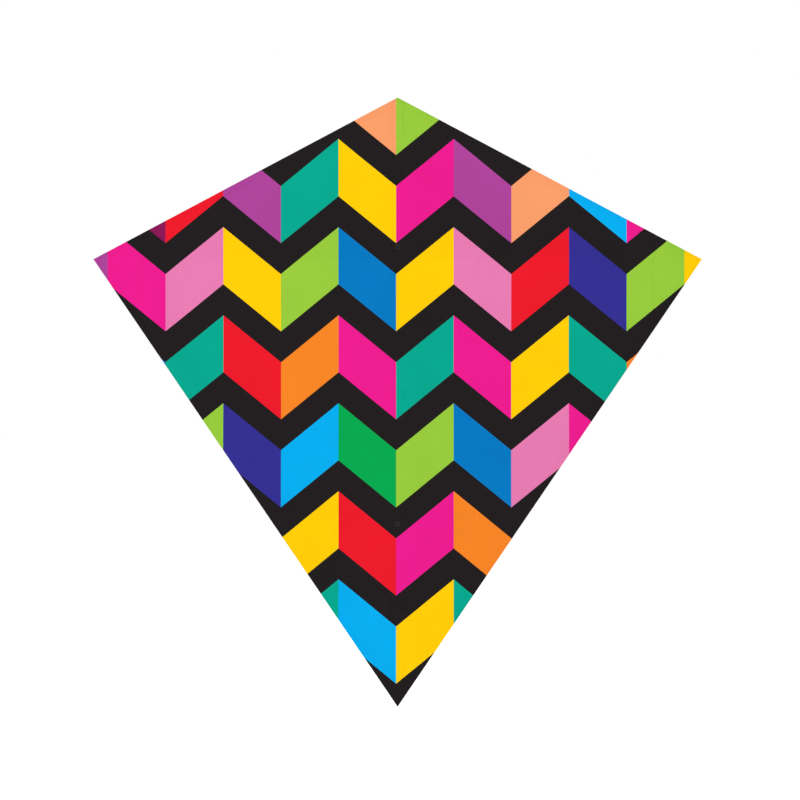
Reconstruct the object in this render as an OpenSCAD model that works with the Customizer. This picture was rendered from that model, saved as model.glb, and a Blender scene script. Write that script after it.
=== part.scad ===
// Diamond kite: a printed cloth sail on a glass-fibre spine and two spreader rods.
// The rods plug into arms that hinge on a central hub, so both wings fold back
// behind the spine like the covers of a book.
// +Z points to the nose and the printed face looks along -Y. The origin is the
// upper bridle point: the middle of the upper eyelet, on the printed face.

/* [Sail] */
// Width of the sail from wing tip to wing tip
sail_w = 762; // [640:1:900]
// Height of the sail from nose to tail
sail_h = 763; // [640:1:900]
// How far the wing tips lie below the nose
tip_drop = 202.5; // [170:0.5:240]
// Thickness of the sail cloth
cloth_t = 0.5; // [0.3:0.1:0.6]
// Thickness of the tapes and patches sewn on the back
tape_t = 0.4; // [0.3:0.1:0.5]
// Width of the tape sewn along each edge
hem_w = 8; // [6:1:10]
// Gap between the centre strip and each wing along the fold lines
fold_gap = 0.3; // [0.2:0.1:0.5]

/* [Rods] */
// Distance from the printed face to the axes of all three rods
rod_y = 5.2; // [5.1:0.1:5.6]
// Diameter of the spine
spine_d = 4; // [3.6:0.1:4]
// Diameter of the two spreader rods
spreader_d = 3; // [2.6:0.1:3]
// Gap between a rod and the plastic or cloth around it
rod_gap = 0.05; // [0.03:0.01:0.08]
// Wall of the soft caps on the rods' ends
cap_wall = 1; // [0.8:0.1:1.1]
// Length of those caps
cap_len = 12; // [10:1:15]

/* [Hub] */
// Distance from the spine to each hinge pin
hinge_x = 10; // [9.8:0.1:11]
// Diameter of the hinge pins
pin_d = 2; // [1.8:0.1:2]
// Radial running clearance between a pin and its arm
pin_gap = 0.05; // [0.03:0.01:0.08]
// Length of the hub's tube along the spine
hub_len = 22; // [20:1:24]
// Outer radius of the hub's tube
hub_r = 3.6; // [3.5:0.1:3.7]
// Radius of the ears around each pin
ear_r = 3.3; // [3:0.1:3.4]
// Thickness of each ear
ear_t = 3.5; // [3:0.1:3.6]
// Height of the arm's knuckle between the ears
knuckle_h = 8; // [7.6:0.1:8]
// Radius of the knuckle
knuckle_r = 2.6; // [2.4:0.1:2.6]
// Length of each arm from its pin to its mouth
arm_len = 34; // [28:1:42]
// Outer radius of the arm's socket
socket_r = 3; // [2.8:0.1:3]

/* [Bridle and tail] */
// Height of the upper bridle point above the spreader rods
tow_above = 16; // [16:0.5:18]
// Distance of the lower bridle eyelet below the spreader rods
bridle_drop = 331; // [300:1:360]
// Diameter of the hole in an eyelet
eyelet_d = 3; // [2.6:0.1:3]
// Outer radius of an eyelet's flange
flange_r = 3.2; // [3:0.1:3.3]
// Height of the tail loop above the sail's lowest point
tail_loop_up = 10; // [9.5:0.5:10.5]
// Inner diameter of the tail loop
tail_loop_d = 4; // [3:0.1:4]
// Width of the ribbon that the tail loop is folded from
ribbon_w = 5; // [4:0.1:5]

/* [Hidden] */
$fn = 48;

// Heights of the four corners and of the things along the spine
spar_z = -tow_above;
nose_z = spar_z + tip_drop;
tail_z = nose_z - sail_h;
half_w = sail_w / 2;
lower_bridle_z = spar_z - bridle_drop;
tail_loop_z = tail_z + tail_loop_up;

// Slopes of the edges, and how far the tape's inner edge lies from the sail's
// edge when measured along Z
upper_slope = tip_drop / half_w;
lower_slope = (sail_h - tip_drop) / half_w;
upper_tape = hem_w * sqrt(1 + upper_slope * upper_slope);
lower_tape = hem_w * sqrt(1 + lower_slope * lower_slope);

// Layers behind the printed face
back_y = cloth_t;
patch_y = cloth_t + tape_t;
wing_x = hinge_x + fold_gap;
patch_x = hinge_x - 0.2;
patch_inset = 1.5;
nose_patch_len = 52;
tail_patch_len = 64;
tip_patch_len = 62;
centre_patch_up = 10;
centre_patch_down = 38;
bridle_patch_half = 14;

// Rods and their caps
spine_r = spine_d / 2;
spreader_r = spreader_d / 2;
spine_cap_r = spine_r + rod_gap + cap_wall;
spreader_cap_r = spreader_r + rod_gap + cap_wall;
cap_end = 1.5;
end_gap = 0.3;
nose_cap_z = nose_z - 10;
tail_cap_z = tail_z + 22;
tip_cap_x = half_w - 12;

// Cloth pockets around the capped ends
pocket_wall = 0.7;
pocket_gap = 0.3;
pocket_len = 34;
pocket_end = 2;
pocket_flange = 7.4;
tip_flange_len = 26;

// Hub and arms
ear_z = knuckle_h / 2 + 0.2;
ring_wall = 1;
ring_len = 4;
ring_gap = 0.2;
pin_play = 0.02;
pin_head_r = 1.9;
pin_head_t = 1;
pin_head_gap = 0.05;
web_len = 6;
web_half = 2.4;
socket_start = 4.2;
socket_depth = 25;
collar_len = 4;
collar_rise = 0.5;

// The stop block on the hub ends this far from the pins, and the lug on each
// knuckle reaches this far from its pin, so the lug meets the block's front
stop_x = 2.8;
stop_y = 0.5;
lug_x = 3.7;
lug_front = 0.7;
lug_t = 1.1;

// How far solids reach into each other, and cuts past them
bite = 0.1;
past = 1;

// Straps that keep the spine against the sail
keeper_len = 14;
keeper_gap = 0.3;
keeper_wall = 0.5;
keeper_z = [spar_z + 105, spar_z - 168, spar_z - 436];

// Eyelets, and the loop at the tail
flange_t = 0.5;
barrel_r = flange_r - 0.95;
eyelet_gap = 0.05;
ribbon_t = 0.5;
loop_foot = 4.5;

// Height of the sail's upper and lower edges at a distance x from the spine
function upper_z(x) = nose_z - upper_slope * x;
function lower_z(x) = tail_z + lower_slope * x;

// A flat piece: an outline in X and Z, from y0 backwards by t
module sheet(outline, y0, t) {
    translate([0, y0 + t, 0]) rotate([90, 0, 0]) linear_extrude(t) polygon(outline);
}

// A rod or hole of radius r along Z, X or Y
module post(x, y, z, r, h) { translate([x, y, z]) cylinder(r = r, h = h); }
module bar(x, y, z, r, h) { translate([x, y, z]) rotate([0, 90, 0]) cylinder(r = r, h = h); }
module drill(x, y, z, r, h) { translate([x, y, z]) rotate([-90, 0, 0]) cylinder(r = r, h = h); }

// The same piece on the other side of the spine
module on_left() { mirror([1, 0, 0]) children(); }

// The hole that an eyelet's barrel fills
module eyelet_hole(z) {
    drill(0, -past, z, barrel_r + eyelet_gap, patch_y + 2 * past);
}

// One rolled eyelet, through the sail and the patch behind it
module eyelet(z) {
    length = patch_y + 2 * flange_t;
    difference() {
        union() {
            drill(0, -flange_t, z, flange_r, flange_t);
            drill(0, -flange_t, z, barrel_r, length);
            drill(0, patch_y, z, flange_r, flange_t);
        }
        drill(0, -flange_t - past, z, eyelet_d / 2, length + 2 * past);
    }
}

// A pocket's cross-section in X and Y, around a cap of radius r: flat flanges
// on the patch and an arch over the cap
module pocket_outline(r) {
    outer = r + pocket_gap + pocket_wall;
    translate([0, rod_y]) circle(r = outer);
    translate([-outer, patch_y]) square([2 * outer, rod_y - patch_y]);
    translate([-pocket_flange, patch_y]) square([2 * pocket_flange, tape_t]);
}

// A pocket along Z: closed at z = 0 and open at its mouth
module pocket(r) {
    difference() {
        linear_extrude(pocket_len) pocket_outline(r);
        translate([0, rod_y, pocket_end])
            cylinder(r = r + pocket_gap, h = pocket_len);
    }
}

// A soft cap on a rod of radius r, along Z: closed at z = 0
module rod_cap(r) {
    difference() {
        cylinder(r = r + rod_gap + cap_wall, h = cap_len);
        translate([0, 0, cap_end]) cylinder(r = r + rod_gap, h = cap_len);
    }
}

// A strap that arches over the spine, with a foot sewn down on each side
module keeper(z) {
    inner = spine_r + keeper_gap;
    outer = inner + keeper_wall;
    translate([0, 0, z - keeper_len / 2]) linear_extrude(keeper_len) difference() {
        union() {
            translate([0, rod_y]) circle(r = outer);
            translate([-outer, back_y]) square([2 * outer, rod_y - back_y]);
            translate([-patch_x, back_y]) square([2 * patch_x, tape_t]);
        }
        translate([0, rod_y]) circle(r = inner);
        translate([-inner, 0]) square([2 * inner, rod_y]);
    }
}

// A small ring on the spine that keeps the hub from sliding
module stop_ring(z) {
    difference() {
        post(0, rod_y, z, spine_r + ring_wall, ring_len);
        post(0, rod_y, z - past, spine_r + rod_gap, ring_len + 2 * past);
    }
}

// ---- Pieces on the spine ----

module sail_centre() {
    color("#231F20") difference() {
        sheet([
            [0, nose_z], [hinge_x, upper_z(hinge_x)], [hinge_x, lower_z(hinge_x)],
            [0, tail_z], [-hinge_x, lower_z(hinge_x)], [-hinge_x, upper_z(hinge_x)]
        ], 0, cloth_t);
        eyelet_hole(0);
        eyelet_hole(lower_bridle_z);
    }
}

module spine_rod() {
    bottom = tail_cap_z + cap_end + rod_gap;
    top = nose_cap_z - cap_end - rod_gap;
    color("#2B2B2D") post(0, rod_y, bottom, spine_r, top - bottom);
}

module nose_cap() {
    color("#18181A") translate([0, rod_y, nose_cap_z]) mirror([0, 0, 1]) rod_cap(spine_r);
}

module tail_cap() {
    color("#18181A") translate([0, rod_y, tail_cap_z]) rod_cap(spine_r);
}

// A tube on the spine with two pairs of ears, and a stop block behind each
// knuckle's lug, which keeps the wings from folding forward
module hub_body() {
    module ears(side) {
        for (z = [ear_z, -ear_z - ear_t]) {
            translate([0, 0, spar_z + z]) linear_extrude(ear_t) union() {
                translate([side * hinge_x, rod_y]) circle(r = ear_r);
                translate([side > 0 ? 0 : -hinge_x, rod_y - ear_r])
                    square([hinge_x, 2 * ear_r]);
            }
        }
        block_x = hinge_x - stop_x;
        translate([side > 0 ? 0 : -block_x, rod_y + stop_y, spar_z - ear_z - bite])
            cube([block_x, ear_r - stop_y, 2 * (ear_z + bite)]);
    }
    color("#1C1C1E") difference() {
        union() {
            post(0, rod_y, spar_z - hub_len / 2, hub_r, hub_len);
            ears(1);
            ears(-1);
        }
        post(0, rod_y, spar_z - hub_len, spine_r + rod_gap, 2 * hub_len);
        for (x = [-hinge_x, hinge_x])
            post(x, rod_y, spar_z - hub_len, pin_d / 2 + pin_play, 2 * hub_len);
    }
}

// A headed pin through both ears
module hinge_pin() {
    reach = ear_z + ear_t;
    post(hinge_x, rod_y, spar_z - reach, pin_d / 2, 2 * reach + bite);
    post(hinge_x, rod_y, spar_z + reach + pin_head_gap, pin_head_r, pin_head_t);
}

module hinge_pin_left() { color("silver") on_left() hinge_pin(); }
module hinge_pin_right() { color("silver") hinge_pin(); }

module stop_ring_upper() {
    color("#18181A") stop_ring(spar_z + hub_len / 2 + ring_gap);
}

module stop_ring_lower() {
    color("#18181A") stop_ring(spar_z - hub_len / 2 - ring_gap - ring_len);
}

module nose_pocket() {
    color("#202022") translate([0, 0, nose_cap_z + pocket_end + end_gap])
        mirror([0, 0, 1]) pocket(spine_cap_r);
}

module tail_pocket() {
    color("#202022") translate([0, 0, tail_cap_z - pocket_end - end_gap])
        pocket(spine_cap_r);
}

module nose_patch() {
    low_z = nose_z - nose_patch_len;
    side_z = upper_z(patch_x) - patch_inset;
    color("#202022") sheet([
        [0, nose_z - patch_inset], [patch_x, side_z], [patch_x, low_z],
        [-patch_x, low_z], [-patch_x, side_z]
    ], back_y, tape_t);
}

module tail_patch() {
    high_z = tail_z + tail_patch_len;
    side_z = lower_z(patch_x) + patch_inset;
    color("#202022") sheet([
        [0, tail_z + patch_inset], [patch_x, side_z], [patch_x, high_z],
        [-patch_x, high_z], [-patch_x, side_z]
    ], back_y, tape_t);
}

// A rectangular patch that reaches from down below to up above its eyelet
module eyelet_patch(z, down, up) {
    difference() {
        sheet([
            [-patch_x, z - down], [patch_x, z - down], [patch_x, z + up], [-patch_x, z + up]
        ], back_y, tape_t);
        eyelet_hole(z);
    }
}

module centre_patch() {
    color("#202022") eyelet_patch(0, centre_patch_down, centre_patch_up);
}

module bridle_patch() {
    color("#202022") eyelet_patch(lower_bridle_z, bridle_patch_half, bridle_patch_half);
}

module bridle_eyelet_upper() { color("#101012") eyelet(0); }
module bridle_eyelet_lower() { color("#101012") eyelet(lower_bridle_z); }

// A ribbon folded into a round loop along X, with its ends sewn to the patch
module tail_loop() {
    inner = tail_loop_d / 2;
    outer = inner + ribbon_t;
    color("#202022") difference() {
        union() {
            bar(-ribbon_w / 2, patch_y + outer, tail_loop_z, outer, ribbon_w);
            translate([-ribbon_w / 2, patch_y, tail_loop_z - loop_foot])
                cube([ribbon_w, ribbon_t, 2 * loop_foot]);
        }
        bar(-ribbon_w / 2 - past, patch_y + outer, tail_loop_z, inner, ribbon_w + 2 * past);
    }
}

module spine_keeper_upper() { color("#202022") keeper(keeper_z[0]); }
module spine_keeper_middle() { color("#202022") keeper(keeper_z[1]); }
module spine_keeper_lower() { color("#202022") keeper(keeper_z[2]); }

// ---- Pieces of one wing, drawn on the right ----

module wing_sail() {
    sheet([
        [wing_x, upper_z(wing_x)], [half_w, spar_z], [wing_x, lower_z(wing_x)]
    ], 0, cloth_t);
}

module wing_hem_upper() {
    sheet([
        [wing_x, upper_z(wing_x)], [half_w, spar_z],
        [half_w - upper_tape / upper_slope, spar_z], [wing_x, upper_z(wing_x) - upper_tape]
    ], back_y, tape_t);
}

module wing_hem_lower() {
    sheet([
        [wing_x, lower_z(wing_x)], [wing_x, lower_z(wing_x) + lower_tape],
        [half_w - lower_tape / lower_slope, spar_z], [half_w, spar_z]
    ], back_y, tape_t);
}

// The reinforcement inside the two tapes at the tip
module wing_tip_patch() {
    start = half_w - tip_patch_len;
    sheet([
        [start, lower_z(start) + lower_tape], [start, upper_z(start) - upper_tape],
        [half_w - upper_tape / upper_slope, spar_z],
        [half_w - lower_tape / lower_slope, spar_z]
    ], back_y, tape_t);
}

// The pocket that holds the spreader's capped end, without flanges past the edge
module wing_tip_pocket() {
    outer = spreader_cap_r + pocket_gap + pocket_wall;
    mouth_x = tip_cap_x + end_gap + pocket_end - pocket_len;
    difference() {
        union() {
            bar(mouth_x, rod_y, spar_z, outer, pocket_len);
            translate([mouth_x, patch_y, spar_z - outer])
                cube([pocket_len, rod_y - patch_y, 2 * outer]);
            translate([mouth_x, patch_y, spar_z - pocket_flange])
                cube([tip_flange_len, tape_t, 2 * pocket_flange]);
        }
        bar(mouth_x - past, rod_y, spar_z, spreader_cap_r + pocket_gap,
            pocket_len - pocket_end + past);
    }
}

module wing_spreader() {
    start = hinge_x + arm_len - socket_depth + end_gap;
    bar(start, rod_y, spar_z, spreader_r, tip_cap_x - cap_end - rod_gap - start);
}

module wing_spreader_cap() {
    translate([tip_cap_x, rod_y, spar_z]) rotate([0, -90, 0]) rod_cap(spreader_r);
}

// The arm: a knuckle on the pin, a web, and a socket for the spreader rod
module wing_arm() {
    knuckle_z = spar_z - knuckle_h / 2;
    mouth_x = hinge_x + arm_len;
    difference() {
        union() {
            post(hinge_x, rod_y, knuckle_z, knuckle_r, knuckle_h);
            translate([hinge_x - lug_x, rod_y - lug_front, knuckle_z])
                cube([lug_x, lug_t, knuckle_h]);
            translate([hinge_x, rod_y - web_half, spar_z - socket_r])
                cube([web_len, 2 * web_half, 2 * socket_r]);
            bar(hinge_x + socket_start, rod_y, spar_z, socket_r, arm_len - socket_start);
            bar(mouth_x - collar_len, rod_y, spar_z, socket_r + collar_rise, collar_len);
        }
        post(hinge_x, rod_y, spar_z - knuckle_h, pin_d / 2 + pin_gap, 2 * knuckle_h);
        bar(mouth_x - socket_depth, rod_y, spar_z, spreader_r + rod_gap,
            socket_depth + past);
    }
}

module sail_left() { color("#EC1D8F") on_left() wing_sail(); }
module sail_right() { color("#FECD04") wing_sail(); }
module hem_upper_left() { color("#202022") on_left() wing_hem_upper(); }
module hem_upper_right() { color("#202022") wing_hem_upper(); }
module hem_lower_left() { color("#202022") on_left() wing_hem_lower(); }
module hem_lower_right() { color("#202022") wing_hem_lower(); }
module tip_patch_left() { color("#202022") on_left() wing_tip_patch(); }
module tip_patch_right() { color("#202022") wing_tip_patch(); }
module tip_pocket_left() { color("#202022") on_left() wing_tip_pocket(); }
module tip_pocket_right() { color("#202022") wing_tip_pocket(); }
module spreader_left() { color("#2B2B2D") on_left() wing_spreader(); }
module spreader_right() { color("#2B2B2D") wing_spreader(); }
module spreader_cap_left() { color("#18181A") on_left() wing_spreader_cap(); }
module spreader_cap_right() { color("#18181A") wing_spreader_cap(); }
module hub_arm_left() { color("#1C1C1E") on_left() wing_arm(); }
module hub_arm_right() { color("#1C1C1E") wing_arm(); }

sail_centre();
spine_rod();
nose_cap();
tail_cap();
hub_body();
hinge_pin_left();
hinge_pin_right();
stop_ring_upper();
stop_ring_lower();
nose_pocket();
tail_pocket();
nose_patch();
tail_patch();
centre_patch();
bridle_patch();
bridle_eyelet_upper();
bridle_eyelet_lower();
tail_loop();
spine_keeper_upper();
spine_keeper_middle();
spine_keeper_lower();
sail_left();
sail_right();
hem_upper_left();
hem_upper_right();
hem_lower_left();
hem_lower_right();
tip_patch_left();
tip_patch_right();
tip_pocket_left();
tip_pocket_right();
spreader_left();
spreader_right();
spreader_cap_left();
spreader_cap_right();
hub_arm_left();
hub_arm_right();
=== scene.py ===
"""A diamond kite with a printed zigzag sail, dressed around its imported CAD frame.

Lengths are in metres, in the CAD's own frame: +Z points to the nose, the printed face
looks along -Y, and the rods and the hub are behind it, at +Y. X is 0 on the spine.
"""

import math

import bmesh
import bpy
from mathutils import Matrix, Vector, noise
from mathutils.bvhtree import BVHTree


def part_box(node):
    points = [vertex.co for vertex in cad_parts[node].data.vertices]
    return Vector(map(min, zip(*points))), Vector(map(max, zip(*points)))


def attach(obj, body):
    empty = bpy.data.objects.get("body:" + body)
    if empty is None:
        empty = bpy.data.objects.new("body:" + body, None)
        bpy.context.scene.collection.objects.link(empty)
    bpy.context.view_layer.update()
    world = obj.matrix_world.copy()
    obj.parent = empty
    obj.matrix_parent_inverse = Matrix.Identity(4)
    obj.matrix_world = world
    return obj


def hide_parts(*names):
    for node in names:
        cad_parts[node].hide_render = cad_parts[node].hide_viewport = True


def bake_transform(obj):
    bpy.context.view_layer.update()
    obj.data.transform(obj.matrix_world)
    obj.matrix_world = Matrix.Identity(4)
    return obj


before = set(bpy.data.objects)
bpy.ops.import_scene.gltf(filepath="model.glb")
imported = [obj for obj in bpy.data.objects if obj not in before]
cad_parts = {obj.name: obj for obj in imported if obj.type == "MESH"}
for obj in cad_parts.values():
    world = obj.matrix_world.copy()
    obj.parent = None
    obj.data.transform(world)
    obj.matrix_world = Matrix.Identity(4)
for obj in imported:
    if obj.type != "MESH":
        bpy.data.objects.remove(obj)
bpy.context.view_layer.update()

MM = 0.001

# ---- Places, read from the frame ----

strip_low, strip_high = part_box("sail_centre")
patch_low, patch_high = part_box("centre_patch")
rod_low, rod_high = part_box("spreader_right")

NOSE_Z = strip_high.z
TAIL_Z = strip_low.z
HINGE_X = strip_high.x
HALF_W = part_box("sail_right")[1].x
SPAR_Z = (rod_low.z + rod_high.z) / 2
TIP_PATCH_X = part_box("tip_patch_right")[0].x
CLOTH_T = strip_high.y - strip_low.y
TAPE_T = patch_high.y - patch_low.y
HEM_W = 8 * MM
BACKWARD = Vector((0, 1, 0))
FORWARD = Vector((0, -1, 0))

UPPER_SLOPE = (NOSE_Z - SPAR_Z) / HALF_W
LOWER_SLOPE = (SPAR_Z - TAIL_Z) / HALF_W

SIDES = {"left": -1, "right": 1}

# The cloth bends over this stretch, measured from the spine
FOLD_START = HINGE_X - 1.2 * MM
FOLD_END = HINGE_X + 3.8 * MM

# ---- The print: zigzag rows of leaning blocks on black ----

COLUMN_W = 72.2 * MM
BLOCK_H = 71.55 * MM
ROW_PITCH = 110.35 * MM
ZIG_H = 59 * MM
PRINT_X = -1.9 * MM
FIRST_ROW_Z = SPAR_Z + 202.1 * MM
BLACK = "."

# One letter for each block, from the left, with the first row at the nose
CHART = [
    ".....PL.....",
    ".mRVTYMVPSM.",
    "VMKYLBYKRILY",
    ".BTROMTMYTO.",
    "..LISGLBKM..",
    "....YRMO....",
    "....TSYT....",
]
MIDDLE_COLUMN = len(CHART[0]) // 2

# Ink colours as a screen shows them
INKS = {
    BLACK: "231F20",
    "M": "EC1D8F",
    "V": "AC4499",
    "T": "00A88F",
    "Y": "FECD04",
    "P": "F89E6A",
    "L": "97CA3D",
    "R": "EB1C2C",
    "B": "0079C2",
    "K": "E67BB1",
    "I": "353192",
    "S": "00ADEF",
    "G": "00A850",
    "O": "F68527",
    "m": "8B1957",
}
INK_KEYS = list(INKS)


def linear(code):
    """A screen colour as linear light."""
    parts = [int(code[i : i + 2], 16) / 255 for i in (0, 2, 4)]
    return [p / 12.92 if p <= 0.04045 else ((p + 0.055) / 1.055) ** 2.4 for p in parts]


def zig(x):
    """How far a row's top lies above its valleys at this x."""
    steps = (x - PRINT_X) / COLUMN_W
    return abs((steps + 1) % 2 - 1) * ZIG_H


def ink_at(x, z):
    """The key of the ink printed at a point of the sail."""
    below = FIRST_ROW_Z - (z - zig(x))
    row = math.floor(below / ROW_PITCH)
    column = math.floor((x - PRINT_X) / COLUMN_W) + MIDDLE_COLUMN
    on_chart = 0 <= row < len(CHART) and 0 <= column < len(CHART[0])
    if on_chart and below - row * ROW_PITCH < BLOCK_H:
        return CHART[row][column]
    return BLACK


# ---- Small mesh tools ----

ON_PLANE = 1e-7
SHARP_DEGREES = 40


def new_piece(name, bm, materials, sharp_degrees=SHARP_DEGREES):
    """Turns a bmesh into an object, smooth except across sharp edges."""
    mesh = bpy.data.meshes.new(name)
    bm.to_mesh(mesh)
    bm.free()
    for material in materials:
        mesh.materials.append(material)
    obj = bpy.data.objects.new(name, mesh)
    bpy.context.scene.collection.objects.link(obj)
    if sharp_degrees:
        mesh.shade_smooth()
        mesh.set_sharp_from_angle(angle=math.radians(sharp_degrees))
    return obj


def lay_uv(bm, place=lambda vert: (vert.co.x, vert.co.z)):
    """A UV map in metres, so that a weave stays on the cloth as it bends."""
    layer = bm.loops.layers.uv.new("cloth")
    for face in bm.faces:
        for loop in face.loops:
            loop[layer].uv = place(loop.vert)


def fill(bm, rows):
    """Quads between the rows of a grid of vertices."""
    for a, b in zip(rows, rows[1:]):
        for j in range(len(a) - 1):
            bm.faces.new((a[j], a[j + 1], b[j + 1], b[j]))


def close_skins(bm, outer, inner):
    """A closed form from two grids of the same size: both skins, and a rim between."""
    borders = []
    for rows in (outer, inner):
        fill(bm, rows)
        right = [row[-1] for row in rows[1:-1]]
        left = [row[0] for row in rows[1:-1]]
        borders.append(rows[0] + right + rows[-1][::-1] + left[::-1])
    one, two = borders
    for i in range(len(one)):
        j = (i + 1) % len(one)
        bm.faces.new((one[i], one[j], two[j], two[i]))
    bmesh.ops.recalc_face_normals(bm, faces=list(bm.faces))


def thicken(bm, offset):
    """Closes an open skin with a second skin, offset(co) further on, and a rim."""
    faces = list(bm.faces)
    rims = [tuple(e.verts) for e in bm.edges if e.is_boundary]
    twin = {v: bm.verts.new(offset(v.co)) for v in list(bm.verts)}
    backs = []
    for face in faces:
        back = bm.faces.new([twin[v] for v in reversed(face.verts)])
        back.material_index = face.material_index
        backs.append(back)
    for a, b in rims:
        bm.faces.new((a, b, twin[b], twin[a]))
    bmesh.ops.recalc_face_normals(bm, faces=list(bm.faces))
    return backs


def cut(bm, point, normal, geometry=None, clear=False):
    """Cuts the mesh along a plane, and clears what lies beyond it if asked."""
    if geometry is None:
        geometry = list(bm.verts) + list(bm.edges) + list(bm.faces)
    bmesh.ops.bisect_plane(
        bm, geom=geometry, dist=ON_PLANE, plane_co=point, plane_no=normal, clear_outer=clear
    )


def cut_to_edges(bm, sign):
    """Clears what lies beyond the sail's two edges on one side."""
    upper = Vector((sign * UPPER_SLOPE, 0, 1)).normalized()
    lower = Vector((sign * LOWER_SLOPE, 0, -1)).normalized()
    cut(bm, Vector((0, 0, NOSE_Z)), upper, clear=True)
    cut(bm, Vector((0, 0, TAIL_Z)), lower, clear=True)


# ---- The shape of the cloth ----


def smooth_step(value):
    t = min(1.0, max(0.0, value))
    return t * t * (3 - 2 * t)


def upper_z(x):
    return NOSE_Z - UPPER_SLOPE * abs(x)


def lower_z(x):
    return TAIL_Z + LOWER_SLOPE * abs(x)


def edge_distance(x, z):
    """Distance from a point of the sail to its nearest edge."""
    above = (upper_z(x) - z) / math.hypot(1, UPPER_SLOPE)
    below = (z - lower_z(x)) / math.hypot(1, LOWER_SLOPE)
    return min(above, below)


# How the cloth is simulated: a little longer than its frame, and pushed back by a
# breeze and a little down by its weight
PROXY_GRID = 9 * MM
SLACK = 0.0012
BREEZE = (0, 3.0, -1.0)
STEPS = 30
CLOTH_SETTINGS = dict(
    quality=6,
    mass=0.1,
    tension_stiffness=40,
    compression_stiffness=40,
    shear_stiffness=20,
    bending_stiffness=2.0,
    tension_damping=10,
    compression_damping=10,
    shear_damping=10,
    shrink_min=-SLACK,
    shrink_max=-SLACK,
)

# The frame holds the cloth this close to its edges and its rods
EDGE_GRIP = 1.2 * MM
SPINE_GRIP = MM
SPAR_GRIP = 0.1 * MM

# The free cloth starts with a faint ruffle, and ends within these depths
RUFFLE = 0.4 * MM
RUFFLES_PER_METRE = 30
MOST_BELLY = 7 * MM
MOST_HOLLOW = MM


def wing_proxy(side):
    """A plain mesh of one wing, with the vertices that its frame holds."""
    sign = SIDES[side]
    bm = bmesh.new()
    across = round((HALF_W - FOLD_END) / PROXY_GRID)
    up = round((NOSE_Z - TAIL_Z) / PROXY_GRID)
    xs = [FOLD_END + (HALF_W - FOLD_END) * i / across for i in range(across + 1)]
    zs = [TAIL_Z + (NOSE_Z - TAIL_Z) * j / up for j in range(up + 1)]
    fill(bm, [[bm.verts.new((sign * x, 0, z)) for z in zs] for x in xs])
    cut_to_edges(bm, sign)
    cut(bm, Vector((0, 0, SPAR_Z)), Vector((0, 0, 1)))
    bmesh.ops.remove_doubles(bm, verts=list(bm.verts), dist=PROXY_GRID / 6)
    held = []
    for i, vert in enumerate(bm.verts):
        x, _, z = vert.co
        on_frame = edge_distance(x, z) < EDGE_GRIP or abs(x) < FOLD_END + SPINE_GRIP
        if on_frame or abs(z - SPAR_Z) < SPAR_GRIP:
            held.append(i)
        else:
            spot = Vector((x * RUFFLES_PER_METRE, sign, z * RUFFLES_PER_METRE))
            vert.co.y = RUFFLE * noise.noise(spot)
    return new_piece(f"proxy_{side}", bm, []), held


def slack_surface(side):
    """One wing's cloth as it settles between its rods and its edges."""
    proxy, held = wing_proxy(side)
    proxy.vertex_groups.new(name="held").add(held, 1.0, "REPLACE")
    cloth_mod = proxy.modifiers.new("cloth", "CLOTH")
    cloth_mod.settings.vertex_group_mass = "held"
    for name, value in CLOTH_SETTINGS.items():
        setattr(cloth_mod.settings, name, value)
    cloth_mod.collision_settings.use_collision = False
    cloth_mod.point_cache.frame_end = STEPS
    smoothing = proxy.modifiers.new("smooth", "SMOOTH")
    smoothing.factor, smoothing.iterations = 0.5, 3
    proxy.modifiers.new("subdivide", "SUBSURF").levels = 2
    for frame_number in range(1, STEPS + 1):
        bpy.context.scene.frame_set(frame_number)
    settled = proxy.evaluated_get(bpy.context.evaluated_depsgraph_get())
    mesh = bpy.data.meshes.new_from_object(settled)
    tree = BVHTree.FromPolygons(
        [v.co for v in mesh.vertices], [f.vertices for f in mesh.polygons]
    )
    bpy.data.meshes.remove(mesh)
    bpy.data.objects.remove(proxy)
    return tree


def settle_cloth():
    """Simulates both wings, and leaves the scene as it was."""
    scene = bpy.context.scene
    gravity = tuple(scene.gravity)
    scene.gravity = BREEZE
    trees = {side: slack_surface(side) for side in SIDES}
    scene.gravity = gravity
    scene.frame_set(1)
    return trees


SETTLED = settle_cloth()

# The belly fades out over these distances from the edge tapes, the fold and the tips
TAPE_FADE = 22 * MM
FOLD_FADE = 25 * MM
TIP_FADE = 45 * MM


def relief(x, z):
    """How far the sail stands off its flat plane: minus is towards the printed side.

    The spine, the edge tapes and the tip patches keep the cloth flat.
    """
    if SETTLED is None:
        return 0.0
    free = smooth_step((edge_distance(x, z) - HEM_W) / TAPE_FADE)
    free *= smooth_step((abs(x) - FOLD_END) / FOLD_FADE)
    free *= smooth_step((TIP_PATCH_X - abs(x)) / TIP_FADE)
    if free == 0:
        return 0.0
    tree = SETTLED["left" if x < 0 else "right"]
    hit = tree.ray_cast(Vector((x, -1, z)), BACKWARD)[0]
    return free * min(MOST_BELLY, max(-MOST_HOLLOW, hit.y)) if hit else 0.0


def cross_fold(obj, side):
    """Bakes the piece's placement into its mesh."""
    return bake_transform(obj)


# ---- Materials ----


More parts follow.
